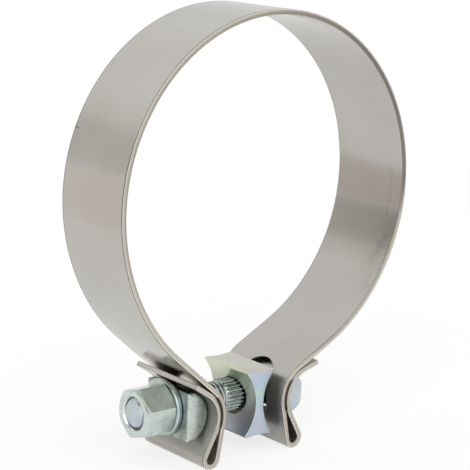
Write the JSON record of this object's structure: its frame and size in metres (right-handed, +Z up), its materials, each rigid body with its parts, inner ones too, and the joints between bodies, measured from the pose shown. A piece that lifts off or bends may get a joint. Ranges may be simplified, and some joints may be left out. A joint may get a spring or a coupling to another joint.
{
  "type": "exhaust seal clamp",
  "caption": "Wide flat band clamp that seals an exhaust pipe joint, with folded double legs closed on a grooved spacer block by a T-headed bolt, half-round saddle, washer and nut.",
  "frame": {"origin": "centre of the ring, half way along the band's width", "axes": "+Y along the pipe, +Z up and away from the bolt, +X along the bolt towards its head"},
  "size_m": [0.111, 0.0292, 0.1362],
  "materials": {
    "stainless_band": "satin rolled stainless steel",
    "zinc_block": "iridescent passivated zinc plating",
    "zinc_bolt": "bright passivated zinc plating",
    "zinc_saddle": "zinc plating over a rough drawn surface",
    "zinc_washer": "bright zinc plating",
    "zinc_nut": "bright zinc plating"
  },
  "bodies": {
    "clamp": {"band": "stainless_band", "t_bolt": "zinc_bolt"},
    "spacer": {"spacer_block": "zinc_block"},
    "carriage": {"saddle": "zinc_saddle", "washer": "zinc_washer"},
    "nut": {"hex_nut": "zinc_nut"}
  },
  "joints": [
    {"name": "spacer_slide", "type": "slide", "parent": "clamp", "child": "spacer", "axis": [0.9998, 0, -0.0209], "range_m": [-0.0124, 0.002]},
    {"name": "saddle_slide", "type": "slide", "parent": "clamp", "child": "carriage", "axis": [-0.9998, 0, 0.0209], "range_m": [0, 0.00794]},
    {"name": "nut_turn", "type": "hinge", "parent": "carriage", "child": "nut", "pos_m": [-0.03499, 0, -0.06369], "axis": [-0.9998, 0, 0.0209], "range_deg": [0, 1800]}
  ],
  "couplings": [
    {"joint": "saddle_slide", "follows": "nut_turn", "m_per_rad": 0.00025266}
  ]
}
